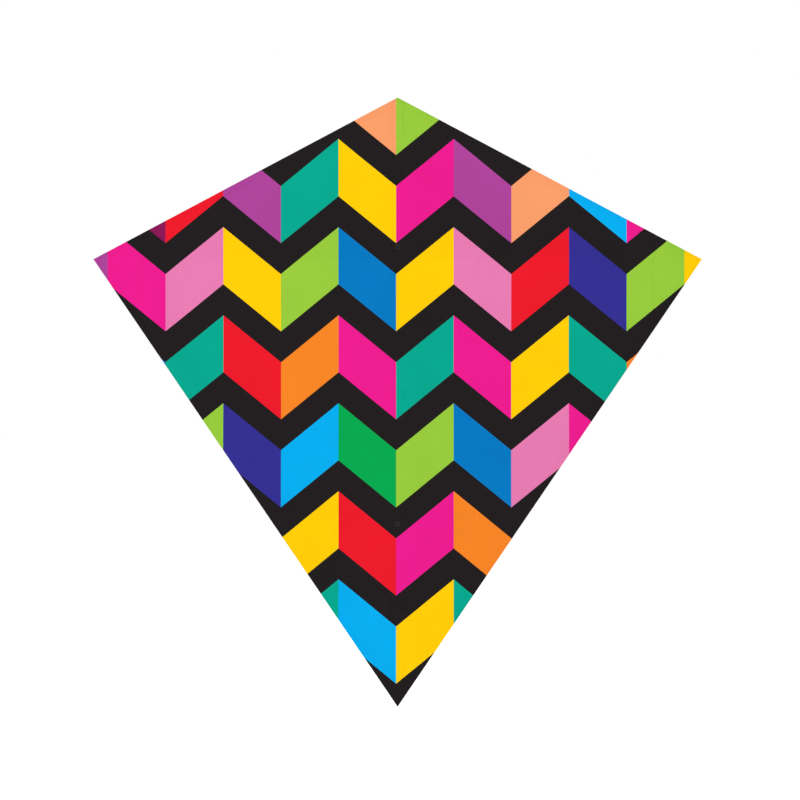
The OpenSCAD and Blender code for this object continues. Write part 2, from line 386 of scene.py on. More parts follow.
class Nodes:
    """A short way to write a material's nodes."""

    def __init__(self, name):
        self.material = bpy.data.materials.new(name)
        self.material.use_nodes = True
        self.tree = self.material.node_tree
        self.shader = self.tree.nodes["Principled BSDF"]

    def add(self, kind, **settings):
        node = self.tree.nodes.new(kind)
        for key, value in settings.items():
            setattr(node, key, value)
        return node

    def feed(self, socket, value):
        if isinstance(value, (int, float)):
            socket.default_value = value
        else:
            self.tree.links.new(value, socket)

    def math(self, operation, a, b=0.0, c=0.0):
        node = self.add("ShaderNodeMath", operation=operation)
        for socket, value in zip(node.inputs, (a, b, c)):
            self.feed(socket, value)
        return node.outputs[0]

    def noise(self, place, scale, detail=2.0):
        node = self.add("ShaderNodeTexNoise")
        node.inputs["Scale"].default_value = scale
        node.inputs["Detail"].default_value = detail
        self.tree.links.new(place, node.inputs["Vector"])
        return node.outputs["Fac"]

    def tint(self, color, brightness):
        """The colour, times a brightness that varies over the surface."""
        node = self.add("ShaderNodeVectorMath", operation="SCALE")
        node.inputs[0].default_value = color[:3]
        self.feed(node.inputs["Scale"], brightness)
        self.tree.links.new(node.outputs[0], self.shader.inputs["Base Color"])

    def bump(self, height, strength, distance):
        node = self.add("ShaderNodeBump")
        node.inputs["Strength"].default_value = strength
        node.inputs["Distance"].default_value = distance
        self.tree.links.new(height, node.inputs["Height"])
        self.tree.links.new(node.outputs[0], self.shader.inputs["Normal"])

    def set(self, **values):
        for key, value in values.items():
            self.shader.inputs[key.replace("_", " ")].default_value = value


def weave_height(n, pitch):
    """Over-and-under yarns on the cloth's own UV map, with that pitch in metres."""
    place = n.add("ShaderNodeUVMap", uv_map="cloth").outputs[0]
    split = n.add("ShaderNodeSeparateXYZ")
    n.tree.links.new(place, split.inputs[0])
    turns = 2 * math.pi / pitch
    warp = n.math("SINE", n.math("MULTIPLY", split.outputs[0], turns))
    weft = n.math("SINE", n.math("MULTIPLY", split.outputs[1], turns))
    return place, split, n.math("MULTIPLY", warp, weft)


def ripstop_lines(n, split, pitch, width):
    """1 on the thicker yarns, which cross at that pitch, and 0 between them."""
    lines = []
    for axis in (0, 1):
        away = n.math("PINGPONG", split.outputs[axis], pitch / 2)
        lines.append(n.math("LESS_THAN", away, width / 2))
    return n.math("MAXIMUM", *lines)


# How much light, of 1, the cloth's gloss adds to its colour
CLOTH_GLOSS = 0.0025

# The thicker yarns of the ripstop grid
RIPSTOP_PITCH = 6 * MM
RIPSTOP_W = 0.7 * MM


def cloth(name, color, pitch=0.6 * MM, ripstop=0.0, rough=0.72, depth=0.06 * MM):
    """Woven polyester: fine yarns with painted shade in their hollows, an optional ripstop
    grid, and slightly uneven dye.
    """
    n = Nodes(name)
    place, split, yarns = weave_height(n, pitch)
    cloud = n.noise(place, 18.0, 3.0)
    height = n.math("MULTIPLY_ADD", yarns, 0.5, 0.5)
    # Painted shade and light: the colour is darker in the weave's hollows and lighter on the
    # yarns' crowns. The uneven dye and the ripstop grid are added next.
    weave_shade_and_dye = n.math("MULTIPLY_ADD", yarns, 0.035, 1.0)
    weave_shade_and_dye = n.math("MULTIPLY", weave_shade_and_dye, n.math("MULTIPLY_ADD", cloud, 0.10, 0.95))
    if ripstop:
        grid = ripstop_lines(n, split, RIPSTOP_PITCH, RIPSTOP_W)
        weave_shade_and_dye = n.math("MULTIPLY", weave_shade_and_dye, n.math("MULTIPLY_ADD", grid, -ripstop, 1.0))
        height = n.math("ADD", height, grid)
    n.tint(color, weave_shade_and_dye)
    n.feed(n.shader.inputs["Roughness"], n.math("MULTIPLY_ADD", yarns, 0.05, rough))
    n.bump(height, 0.35, depth)
    n.set(Specular_IOR_Level=0.05, Sheen_Weight=0.01, Sheen_Roughness=0.5)
    return n.material


def object_place(n):
    return n.add("ShaderNodeTexCoord").outputs["Object"]


def moulded(name, color, rough, grain=1800.0, depth=0.05 * MM, spec=0.4):
    """Moulded plastic or vinyl with a fine spark-eroded texture."""
    n = Nodes(name)
    place = object_place(n)
    fine = n.noise(place, grain, 3.0)
    broad = n.noise(place, 130.0, 2.0)
    n.tint(color, n.math("MULTIPLY_ADD", broad, 0.5, 0.75))
    n.feed(n.shader.inputs["Roughness"], n.math("MULTIPLY_ADD", broad, 0.18, rough))
    n.bump(fine, 0.3, depth)
    n.set(Specular_IOR_Level=spec)
    return n.material


STREAK_STRETCH = 0.02


def fibre_rod(name, color, along):
    """Pultruded glass fibre: streaks of fibre along that axis, under a thin resin gloss."""
    n = Nodes(name)
    stretch = n.add("ShaderNodeMapping")
    scale = [STREAK_STRETCH if axis == along else 1.0 for axis in range(3)]
    stretch.inputs["Scale"].default_value = scale
    n.tree.links.new(object_place(n), stretch.inputs["Vector"])
    streaks = n.noise(stretch.outputs[0], 2600.0, 4.0)
    n.tint(color, n.math("MULTIPLY_ADD", n.math("POWER", streaks, 3.0), 6.0, 0.25))
    n.feed(n.shader.inputs["Roughness"], n.math("MULTIPLY_ADD", streaks, 0.25, 0.12))
    n.bump(streaks, 0.25, 0.05 * MM)
    n.set(Specular_IOR_Level=0.6)
    return n.material


TOOL_RING = 0.25 * MM


def turned_steel(name):
    """A small turned pin, with rings left by the tool."""
    n = Nodes(name)
    split = n.add("ShaderNodeSeparateXYZ")
    n.tree.links.new(object_place(n), split.inputs[0])
    rings = n.math("SINE", n.math("MULTIPLY", split.outputs[2], 2 * math.pi / TOOL_RING))
    patches = n.noise(object_place(n), 600.0, 3.0)
    n.tint(linear("C9CBCF"), n.math("MULTIPLY_ADD", patches, 0.2, 0.85))
    n.feed(n.shader.inputs["Roughness"], n.math("MULTIPLY_ADD", patches, 0.2, 0.18))
    n.bump(rings, 0.2, 0.02 * MM)
    n.set(Metallic=1.0)
    return n.material


def enamelled_eyelet(name):
    """Black enamel over brass, with a little brass showing where it has worn."""
    n = Nodes(name)
    place = object_place(n)
    wear = n.math("GREATER_THAN", n.noise(place, 1500.0, 4.0), 0.66)
    mix = n.add("ShaderNodeMix", data_type="RGBA")
    mix.inputs[6].default_value = [*linear("1E1B1C"), 1]
    mix.inputs[7].default_value = [*linear("3E3424"), 1]
    n.tree.links.new(wear, mix.inputs[0])
    n.tree.links.new(mix.outputs[2], n.shader.inputs["Base Color"])
    n.feed(n.shader.inputs["Roughness"], n.math("MULTIPLY_ADD", wear, 0.15, 0.42))
    n.bump(n.noise(place, 900.0), 0.1, 0.05 * MM)
    n.set(Specular_IOR_Level=0.25)
    return n.material


def faded(color, toward=0.15, share=0.2):
    """The colour as it shows through on the unprinted side."""
    return [c * (1 - share) + toward * share for c in color]


def ink_color(key):
    """The ink's own colour: what a screen shows, less the gloss that lies over it."""
    return [max(0.0, part - CLOTH_GLOSS) for part in linear(INKS[key])]


FRONT_INKS = [cloth(f"print_{i}", ink_color(k), ripstop=0.03) for i, k in enumerate(INK_KEYS)]
BACK_INKS = [
    cloth(f"print_back_{i}", faded(ink_color(k)), ripstop=0.05)
    for i, k in enumerate(INK_KEYS)
]
TAPE = cloth("tape_black", linear("232224"), pitch=1.1 * MM, rough=0.8, depth=0.15 * MM)
PATCH = cloth("patch_black", linear("29282B"), pitch=0.9 * MM, rough=0.75, depth=0.12 * MM)
THREAD = moulded("thread_black", linear("3A393C"), 0.6, grain=4000.0, spec=0.3)
VINYL = moulded("vinyl_black", linear("1D1D1F"), 0.42)
NYLON = moulded("nylon_black", linear("252527"), 0.5, grain=2400.0)
SPINE_ROD = fibre_rod("glass_fibre_spine", linear("2A2B2E"), along=2)
CROSS_ROD = fibre_rod("glass_fibre_spreader", linear("2A2B2E"), along=0)
STEEL = turned_steel("pin_steel")
ENAMEL = enamelled_eyelet("eyelet_enamel")

# ---- The sail ----

EYELETS = ("bridle_eyelet_upper", "bridle_eyelet_lower")
EYELET_HOLE = 2.3 * MM

# How many faces the mesh has across a column, down a block, down a black gap, and
# across the fold
FINE_ACROSS = 12
FINE_BLOCK = 12
FINE_GAP = 6
FINE_FOLD = 6


def grid_columns(side):
    """X lines on one side of the spine: every column's edges, and lines between."""
    sign = SIDES[side]
    lines = []
    for column in range(-1, MIDDLE_COLUMN):
        for i in range(FINE_ACROSS):
            lines.append(PRINT_X + sign * (column + i / FINE_ACROSS) * COLUMN_W)
    return sorted(lines)


def grid_rows():
    """Heights, before the zigzag is added, of every row's edges and lines between."""
    lines = []
    for row in range(-1, len(CHART) + 1):
        top = FIRST_ROW_Z - row * ROW_PITCH
        lines += [top - BLOCK_H * i / FINE_BLOCK for i in range(FINE_BLOCK)]
        gap = ROW_PITCH - BLOCK_H
        lines += [top - BLOCK_H - gap * i / FINE_GAP for i in range(FINE_GAP)]
    return lines


HOLE_CORNERS = 12
HOLE_REACH = 15 * MM


def cut_hole(bm, x, z, radius):
    """Opens a round hole in a flat part of the cloth, and cuts only the faces near it."""
    centre = Vector((x, 0, z))
    for i in range(HOLE_CORNERS):
        turn = 2 * math.pi * i / HOLE_CORNERS
        normal = Vector((math.cos(turn), 0, math.sin(turn)))
        near = [f for f in bm.faces if (f.calc_center_median() - centre).length < HOLE_REACH]
        edges = {e for f in near for e in f.edges}
        verts = {v for f in near for v in f.verts}
        cut(bm, centre + normal * radius, normal, [*verts, *edges, *near])
    inside = [f for f in bm.faces if (f.calc_center_median() - centre).length < radius]
    bmesh.ops.delete(bm, geom=inside, context="FACES")


def eyelet_places():
    """X and Z of the eyelets, from the CAD's boxes."""
    boxes = [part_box(node) for node in EYELETS]
    return [((low.x + high.x) / 2, (low.z + high.z) / 2) for low, high in boxes]


def sail_half(side):
    """One half of the sail, from the spine's line to the wing tip, in two skins."""
    sign = SIDES[side]
    bm = bmesh.new()
    columns, rows = grid_columns(side), grid_rows()
    fill(bm, [[bm.verts.new((x, 0, v + zig(x))) for v in rows] for x in columns])
    cut(bm, Vector((0, 0, 0)), Vector((-sign, 0, 0)), clear=True)
    cut_to_edges(bm, sign)
    cut(bm, Vector((0, 0, SPAR_Z)), Vector((0, 0, 1)))
    for i in range(FINE_FOLD + 1):
        x = FOLD_START + (FOLD_END - FOLD_START) * i / FINE_FOLD
        cut(bm, Vector((sign * x, 0, 0)), Vector((1, 0, 0)))
    for x, z in eyelet_places():
        if x * sign >= 0:
            cut_hole(bm, x, z, EYELET_HOLE)
    for face in bm.faces:
        centre = face.calc_center_median()
        face.material_index = INK_KEYS.index(ink_at(centre.x, centre.z))
    for vert in bm.verts:
        vert.co.y = relief(vert.co.x, vert.co.z)
    backs = thicken(bm, lambda co: co + Vector((0, CLOTH_T, 0)))
    for face in backs:
        face.material_index += len(INK_KEYS)
    lay_uv(bm)
    piece = new_piece(f"sail_{side}_print", bm, FRONT_INKS + BACK_INKS)
    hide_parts(f"sail_{side}", "sail_centre")
    return cross_fold(piece, side)


# ---- Layers on the back of the sail ----

SEWN_GAP = 0.02 * MM

# How a patch steps down from a tape: over this distance, from this share of the tape
TAPE_SLOPE = 1.5 * MM
TAPE_PUFF = 1.15


def sail_back(x, z):
    return relief(x, z) + CLOTH_T


def tape_top(x, z):
    """The back of the edge tapes, and of the bare sail between them."""
    over = 1 - smooth_step((edge_distance(x, z) - HEM_W) / TAPE_SLOPE)
    return sail_back(x, z) + TAPE_PUFF * TAPE_T * over


def patch_top(x, z):
    return tape_top(x, z) + TAPE_T


# ---- Stitching ----

STITCH_PITCH = 3.2 * MM
STITCH_L = 2.7 * MM
THREAD_R = 0.17 * MM
THREAD_SIDES = 6

# Along one stitch: share of its length, then width and height as shares of the thread
STITCH_FORM = [
    (0.0, 0.35, -0.6),
    (0.14, 0.95, 0.2),
    (0.5, 1.0, 0.55),
    (0.86, 0.95, 0.2),
    (1.0, 0.35, -0.6),
]


def add_stitch(bm, start, end, out, index=0):
    """One stitch from start to end, that dives into the cloth at both ends."""
    along = (end - start).normalized()
    side = along.cross(out).normalized()
    rings = []
    for share, width, lift in STITCH_FORM:
        centre = start.lerp(end, share) + out * lift * THREAD_R
        ring = []
        for k in range(THREAD_SIDES):
            turn = 2 * math.pi * k / THREAD_SIDES
            radial = side * math.cos(turn) + out * math.sin(turn)
            ring.append(bm.verts.new(centre + radial * THREAD_R * width))
        rings.append(ring)
    faces = [bm.faces.new(rings[0]), bm.faces.new(list(reversed(rings[-1])))]
    for a, b in zip(rings, rings[1:]):
        for k in range(THREAD_SIDES):
            after = (k + 1) % THREAD_SIDES
            faces.append(bm.faces.new((a[after], a[k], b[k], b[after])))
    for face in faces:
        face.material_index = index


class Stitching:
    """One group of seams: black thread behind, and in front thread that took the ink."""

    def __init__(self, name):
        self.name = name
        self.behind, self.front = bmesh.new(), bmesh.new()

    def line(self, place, length, through=True):
        """Stitches along place(share), which gives a point behind the sail and a
        direction out of the surface there."""
        count = max(1, round(length / STITCH_PITCH))
        half = STITCH_L / STITCH_PITCH / 2
        for i in range(count):
            a, out = place((i + 0.5 - half) / count)
            b, _ = place((i + 0.5 + half) / count)
            add_stitch(self.behind, a, b, out)
            if through:
                ink = ink_at((a.x + b.x) / 2, (a.z + b.z) / 2)
                a, b = (Vector((p.x, relief(p.x, p.z), p.z)) for p in (a, b))
                add_stitch(self.front, a, b, FORWARD, INK_KEYS.index(ink))

    def straight(self, start, end, top):
        """A seam between two points in X and Z, on the surface top(x, z)."""

        def place(share):
            x, z = (a + share * (b - a) for a, b in zip(start, end))
            return Vector((x, top(x, z), z)), BACKWARD

        self.line(place, math.dist(start, end))

    def pieces(self):
        """The two finished pieces, behind and in front."""
        made = []
        for bm, label, inks, slot in (
            (self.behind, "stitching", [THREAD], "tape_cloth"),
            (self.front, "print_stitching", FRONT_INKS, "print_cloth"),
        ):
            lay_uv(bm)
            piece = new_piece(f"{label}_{self.name}", bm, inks)
            made.append(piece)
        return made


# ---- Tapes along the edges ----


class Edge:
    """One edge of the sail, from the spine to a tip: a point is named by its
    distance along the edge, as a share, and its distance in from the edge."""

    def __init__(self, name, side):
        self.name = f"{name}_{side}"
        self.side = side
        self.sign = SIDES[side]
        upper = name == "upper"
        slope = -UPPER_SLOPE if upper else LOWER_SLOPE
        self.start_z = NOSE_Z if upper else TAIL_Z
        self.length = HALF_W * math.hypot(1, slope)
        self.along = Vector((1, 0, slope)).normalized()
        inward = 1 if upper else -1
        self.inward = Vector((self.along.z, 0, -self.along.x)) * inward

    def point(self, share, depth):
        """X and Z. Each line ends on the spine and on the spar, for mitred corners."""
        first = -depth * self.inward.x / self.along.x
        last = self.length - depth * self.inward.z / self.along.z
        at = self.along * (first + share * (last - first)) + self.inward * depth
        return self.sign * at.x, self.start_z + at.z


# Depth from the edge in millimetres, and height above the sail as a share of the tape
TAPE_PROFILE = [
    (0.05, 0.35), (0.35, 0.85), (1.1, 1.0), (1.7, 0.82), (2.6, 1.08), (4.0, 1.12),
    (5.4, 1.08), (6.3, 0.82), (6.9, 1.0), (7.6, 0.85), (8.0, 0.35),
]
SEAM_DEPTHS = (1.7 * MM, 6.3 * MM)
SEAM_HEIGHT = 0.85
TAPE_STEP = 3 * MM
FOLD_STEP = 0.7 * MM
FOLD_LINES = 10

# Uneven pull of the seams: how often, and as a share of the tape's thickness
PULLS_PER_METRE = 160
PULL = 0.10


def tape_shares():
    """Shares of an edge's length: even steps, with finer ones where the sail folds."""
    steps = int(HALF_W / TAPE_STEP)
    even = [i / steps for i in range(steps + 1)]
    fine = [(FOLD_START + i * FOLD_STEP) / HALF_W for i in range(-1, FOLD_LINES)]
    return sorted([s for s in even if not fine[0] < s < fine[-1]] + fine)


def tape(edge):
    """The woven tape on the back of one edge, drawn in along its two seams."""
    bm = bmesh.new()
    rows = []
    for share in tape_shares():
        row = []
        for depth, rise in TAPE_PROFILE:
            x, z = edge.point(share, depth * MM)
            spot = Vector((x * PULLS_PER_METRE, 1.0, z * PULLS_PER_METRE))
            pull = noise.noise(spot) * PULL
            row.append(bm.verts.new((x, sail_back(x, z) + TAPE_T * (rise + pull), z)))
        rows.append(row)
    fill(bm, rows)
    thicken(bm, lambda co: Vector((co.x, sail_back(co.x, co.z) + SEWN_GAP, co.z)))
    turn = math.atan2(edge.along.z, edge.along.x) * edge.sign
    across, up = math.cos(turn), math.sin(turn)

    def along_edge(vert):
        x, _, z = vert.co
        return x * across + z * up, z * across - x * up

    lay_uv(bm, along_edge)
    piece = new_piece(f"edge_tape_{edge.name}", bm, [TAPE])
    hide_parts(f"hem_{edge.name}")
    return cross_fold(piece, edge.side)


def tape_seams(edge):
    """The two seams of a tape."""
    sewn = Stitching(f"edge_{edge.name}")
    for depth in SEAM_DEPTHS:
        ends = edge.point(0, depth), edge.point(1, depth)
        sewn.straight(*ends, lambda x, z: sail_back(x, z) + SEAM_HEIGHT * TAPE_T)
    return [cross_fold(piece, edge.side) for piece in sewn.pieces()]


# ---- Patches ----

PATCH_SEAM = 1.7 * MM
PATCH_GRID = 1.2 * MM
PATCH_INSET = 1.3 * MM

# A patch rises from this share of its thickness at its cut edge to all of it this far
# in, with a line of vertices on the way, and dips along its seam
CUT_RISE = 0.4
CUT_EDGE = 0.8 * MM
CUT_LINE = 0.3 * MM
SEAM_DIP = 0.18
SEAM_DIP_W = 0.5 * MM
THREAD_SINK = 0.15

# Uneven cloth, as a share of its thickness
PUCKER = 0.06
PUCKERS_PER_METRE = 220


def outward_normals(outline):
    """For each side of a convex outline: a corner on it and its outward direction."""
    middle = sum((Vector(p) for p in outline), Vector((0, 0))) / len(outline)
    sides = []
    for a, b in zip(outline, outline[1:] + outline[:1]):
        along = Vector(b) - Vector(a)
        out = Vector((along.y, -along.x)).normalized()
        if out.dot(Vector(a) - middle) < 0:
            out = -out
        sides.append((Vector(a), out))
    return sides


def depth_inside(sides, x, z):
    return min(out.dot(corner - Vector((x, z))) for corner, out in sides)


def shrink(outline, distance):
    """The outline moved inwards by a distance."""
    sides = outward_normals(outline)
    corners = []
    for (p, a), (q, b) in zip(sides[-1:] + sides[:-1], sides):
        h, k = a.dot(p) - distance, b.dot(q) - distance
        size = a.x * b.y - a.y * b.x
        corners.append(((h * b.y - k * a.y) / size, (a.x * k - b.x * h) / size))
    return corners


def patch(name, body, outline, sewn, hole=None):
    """A sewn patch: drawn in along its seam, and thin at its cut edges. A hole is the
    X and Z of an eyelet."""
    sides = outward_normals(outline)
    xs, zs = zip(*outline)
    count_x = round((max(xs) - min(xs)) / PATCH_GRID)
    count_z = round((max(zs) - min(zs)) / PATCH_GRID)
    bm = bmesh.new()
    rows = []
    for i in range(count_x + 1):
        x = min(xs) + (max(xs) - min(xs)) * i / count_x
        zs_at = [min(zs) + (max(zs) - min(zs)) * j / count_z for j in range(count_z + 1)]
        rows.append([bm.verts.new((x, 0, z)) for z in zs_at])
    fill(bm, rows)
    for corner, out in sides:
        place, normal = Vector((corner.x, 0, corner.y)), Vector((out.x, 0, out.y))
        cut(bm, place, normal, clear=True)
        for inner in (CUT_LINE, CUT_EDGE):
            cut(bm, place - normal * inner, normal)
    if hole:
        cut_hole(bm, *hole, EYELET_HOLE)
    for vert in bm.verts:
        x, z = vert.co.x, vert.co.z
        depth = depth_inside(sides, x, z)
        rise = CUT_RISE + (1 - CUT_RISE) * smooth_step(depth / CUT_EDGE)
        rise -= SEAM_DIP * math.exp(-(((depth - PATCH_SEAM) / SEAM_DIP_W) ** 2))
        spot = Vector((x * PUCKERS_PER_METRE, 5.0, z * PUCKERS_PER_METRE))
        rise += PUCKER * noise.noise(spot)
        vert.co.y = tape_top(x, z) + TAPE_T * rise
    thicken(bm, lambda co: Vector((co.x, tape_top(co.x, co.z) + SEWN_GAP, co.z)))
    lay_uv(bm)
    piece = new_piece(name.replace("patch", "sewn_patch"), bm, [PATCH])
    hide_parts(name)
    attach(piece, body)
    seam = shrink(outline, PATCH_SEAM)
    for a, b in zip(seam, seam[1:] + seam[:1]):
        sewn.straight(a, b, lambda x, z: patch_top(x, z) - THREAD_SINK * TAPE_T)
    return piece


def box_outline(node):
    low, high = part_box(node)
    return [(low.x, low.z), (high.x, low.z), (high.x, high.z), (low.x, high.z)]


def inset_upper(x):
    return upper_z(x) - PATCH_INSET * math.hypot(1, UPPER_SLOPE)


def inset_lower(x):
    return lower_z(x) + PATCH_INSET * math.hypot(1, LOWER_SLOPE)


def nose_outline():
    low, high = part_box("nose_patch")
    x, side_z, point_z = high.x, inset_upper(high.x), inset_upper(0)
    return [(-x, low.z), (x, low.z), (x, side_z), (0, point_z), (-x, side_z)]


def tail_outline():
    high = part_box("tail_patch")[1]
    x, side_z, point_z = high.x, inset_lower(high.x), inset_lower(0)
    return [(-x, high.z), (x, high.z), (x, side_z), (0, point_z), (-x, side_z)]


def tip_outline(side):
    """A triangle over both tapes, with its point just inside the wing tip."""
    x = TIP_PATCH_X
    gap = PATCH_INSET * (math.hypot(1, UPPER_SLOPE) + math.hypot(1, LOWER_SLOPE))
    tip_x = HALF_W - gap / (UPPER_SLOPE + LOWER_SLOPE)
    corners = [(x, inset_lower(x)), (x, inset_upper(x)), (tip_x, inset_upper(tip_x))]
    return [(SIDES[side] * cx, cz) for cx, cz in corners]


# ---- Cloth that arches over a rod: pockets and straps ----

# Share of a strip's width in each foot, and how square the arch is: 1 is round
FOOT_SHARE = 0.15
ARCH_POWER = 0.83

# What the feet keep clear of: the sail's edge, and the arch itself
EDGE_ROOM = 1.6 * MM
LEAST_FOOT = 0.7 * MM
FLAT_FOOT = 1.4 * MM

# A pocket's mouth: how much it flares, and how much its hem adds to its thickness
FLARE = 0.05
FLARE_L = 3 * MM
MOUTH_HEM = 4 * MM
HEM_FOLD = 0.8

# Uneven cloth over the arch
RIPPLE = 0.14 * MM
RIPPLES_PER_METRE = 260
RIPPLES_ACROSS = 5

# The length of a strip's faces, and how many there are across it
BAND_STEP = 0.9 * MM
BAND_COLUMNS = 40

# A seam's length is measured along this many steps
SEAM_SPOTS = 12


class Band:
    """A strip of cloth along a rod, with a flat foot on each side of an arch.

    A point on it is named by a, its distance from the mouth along the rod, and v,
    which runs from 0 to 1 across the strip. A pocket also has a closed end, where
    the arch runs out flat on the sail.
    """

    thick = 0.5 * MM

    def __init__(self, name, mouth, along, length, foot, arch, height, base, closed=0.0):
        self.name, self.mouth, self.along = name, mouth, along
        self.length, self.foot, self.arch, self.height = length, foot, arch, height
        self.base, self.closed = base, closed

    def place(self, a, u):
        """X and Z of a point a along the rod and u to its side."""
        (mx, mz), (dx, dz) = self.mouth, self.along
        return mx + dx * a - dz * u, mz + dz * a + dx * u

    def reach(self, a, sign):
        """How wide the foot may be on one side before it nears the sail's edge."""
        foot = self.foot
        while foot > MM and edge_distance(*self.place(a, sign * foot)) < EDGE_ROOM:
            foot -= 0.1 * MM
        return foot

    def section(self, a, sign):
        """Foot width, arch half-width and arch height at a."""
        foot = self.reach(a, sign)
        flat = smooth_step(1 - (self.length - a) / self.closed) if self.closed else 0.0
        flare = FLARE * math.exp(-a / FLARE_L) if self.closed else 0.0
        arch = self.arch * (1 + flare) + (self.foot - self.arch - FLAT_FOOT) * flat
        height = self.height * (1 + flare) * (1 - flat) + 0.1 * MM
        return foot, min(arch, foot - LEAST_FOOT), height

    def thickness(self, a, v):
        """Nearly double where the mouth is hemmed, and thin at the cut edges."""
        past_hem = smooth_step((a - MOUTH_HEM) / (0.6 * MM)) if self.closed else 1
        hem = 1 + HEM_FOLD * (1 - past_hem)
        edge = min(1.0, 0.35 + min(v, 1 - v) / 0.02)
        return self.thick * hem * edge

    def point(self, a, v, outer=True):
        sign = -1 if v < 0.5 else 1
        foot, arch, height = self.section(a, sign)
        thick = self.thickness(a, v)
        out = min(v, 1 - v) / FOOT_SHARE
        if out < 1:
            u, rise = sign * (foot - (foot - arch) * out), 0.0
        else:
            turn = math.pi * (1 - (v - FOOT_SHARE) / (1 - 2 * FOOT_SHARE))
            c, s = math.cos(turn), max(0.0, math.sin(turn))
            width = arch if outer else max(0.1 * MM, arch - thick)
            u = math.copysign(abs(c) ** ARCH_POWER, c) * width
            rise = s**ARCH_POWER * height
            spot = (a * RIPPLES_PER_METRE, v * RIPPLES_ACROSS, self.length * 100)
            ripple = noise.noise(Vector(spot)) * RIPPLE
            u += ripple * c * s
            rise += ripple * s
        x, z = self.place(a, u)
        return Vector((x, self.base(x, z) + rise + (thick if outer else SEWN_GAP), z))

    def surface(self, a, v):
        """A point on the outside, and the direction out of the cloth there."""
        step_a = self.point(a + 0.2 * MM, v) - self.point(a - 0.2 * MM, v)
        step_v = self.point(a, v + 0.005) - self.point(a, v - 0.005)
        out = step_a.cross(step_v).normalized()
        return self.point(a, v), out if out.y > 0 else -out

    def stitch(self, sewn, start, end, through=True):
        """A seam from one (a, v) to another, over the outside of the cloth."""

        def place(share):
            return self.surface(*(p + share * (q - p) for p, q in zip(start, end)))

        spots = [place(i / SEAM_SPOTS)[0] for i in range(SEAM_SPOTS + 1)]
        length = sum((b - a).length for a, b in zip(spots, spots[1:]))
        sewn.line(place, length, through)

    def piece(self, node, body, material):
        """The finished strip, which stands for a CAD node and rides on a body."""
        bm = bmesh.new()
        count_a, count_v = max(10, round(self.length / BAND_STEP)), BAND_COLUMNS
        width = 2 * self.foot + 1.2 * self.height  # about what it measures over the arch
        spots, skins = {}, []
        for outer in (True, False):
            rows = []
            for i in range(count_a + 1):
                a = self.length * i / count_a
                points = [self.point(a, j / count_v, outer) for j in range(count_v + 1)]
                rows.append([bm.verts.new(point) for point in points])
                for j, vert in enumerate(rows[-1]):
                    spots[vert] = (a, width * j / count_v)
            skins.append(rows)
        close_skins(bm, *skins)
        lay_uv(bm, spots.get)
        piece = new_piece(self.name, bm, [material])
        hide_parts(node)
        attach(piece, body)
        return piece


SPINE_POCKET = dict(foot=7.4 * MM, arch=4.1 * MM, height=7.75 * MM, base=patch_top)
TIP_POCKET = dict(foot=7.4 * MM, arch=3.6 * MM, height=7.1 * MM, base=patch_top)
STRAP = dict(arch=2.85 * MM, height=6.9 * MM, base=sail_back)

# Each pocket's flap, sewn down past the rod's end, and how far the arch takes to run out
# before the flap
FLAPS = {"nose": 5.2 * MM, "tail": 4.4 * MM, "tip": 3.6 * MM}
SPINE_RUN_OUT = 1.2 * MM
TIP_RUN_OUT = 1.6 * MM

# Places of the seams: distances from a strip's ends, and shares of its width
END_SEAM = 1.0 * MM
HEM_SEAM = 3.4 * MM
FOOT_SEAM = 0.055
FLAP_SEAM = 0.08
BOX_END = 1.5 * MM
BOX_SIDES = (0.02, 0.125)


def spine_pocket(end, sewn):
    """The pocket at the nose or the tail."""
    sign = 1 if end == "nose" else -1
    low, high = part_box(f"{end}_pocket")
    mouth_z, end_z = (low.z, high.z) if sign > 0 else (high.z, low.z)
    length = abs(end_z - mouth_z) + FLAPS[end]
    closed = FLAPS[end] + SPINE_RUN_OUT
    name = f"{end}_rod_pocket"
    band = Band(name, (0, mouth_z), (0, sign), length, closed=closed, **SPINE_POCKET)
    band.piece(f"{end}_pocket", "spine", PATCH)
    sew_pocket(band, sewn)


def tip_pocket(side, sewn):
    """The pocket that holds a spreader rod's end at a wing tip."""
    low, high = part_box("tip_pocket_right")
    sign = SIDES[side]
    length, closed = high.x - low.x + FLAPS["tip"], FLAPS["tip"] + TIP_RUN_OUT
    name, mouth = f"tip_rod_pocket_{side}", (sign * low.x, SPAR_Z)
    band = Band(name, mouth, (sign, 0), length, closed=closed, **TIP_POCKET)
    band.piece(f"tip_pocket_{side}", f"wing_{side}", PATCH)
    sew_pocket(band, sewn)


def sew_pocket(band, sewn):
    """Seams along both feet and across the closed end, and one round the mouth's hem."""
    last = band.length - END_SEAM
    for v in (FOOT_SEAM, 1 - FOOT_SEAM):
        band.stitch(sewn, (END_SEAM, v), (last, v))
    band.stitch(sewn, (last, FLAP_SEAM), (last, 1 - FLAP_SEAM))
    band.stitch(sewn, (HEM_SEAM, FOOT_SHARE), (HEM_SEAM, 1 - FOOT_SHARE), through=False)


def keeper(name, sewn):
    """A strap over the spine, with a crossed box of stitches on each foot."""
    low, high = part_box(name)
    length = high.z - low.z
    strap_name = name.replace("spine_keeper", "spine_strap")
    band = Band(strap_name, (0, low.z), (0, 1), length, foot=high.x, **STRAP)
    band.piece(name, "spine", TAPE)
    near, far = BOX_END, length - BOX_END
    for a, b in (BOX_SIDES, [1 - v for v in BOX_SIDES]):
        corners = [(near, a), (near, b), (far, b), (far, a)]
        for p, q in zip(corners, corners[1:] + corners[:1]):
            band.stitch(sewn, p, q)
        band.stitch(sewn, corners[0], corners[2])
        band.stitch(sewn, corners[1], corners[3])


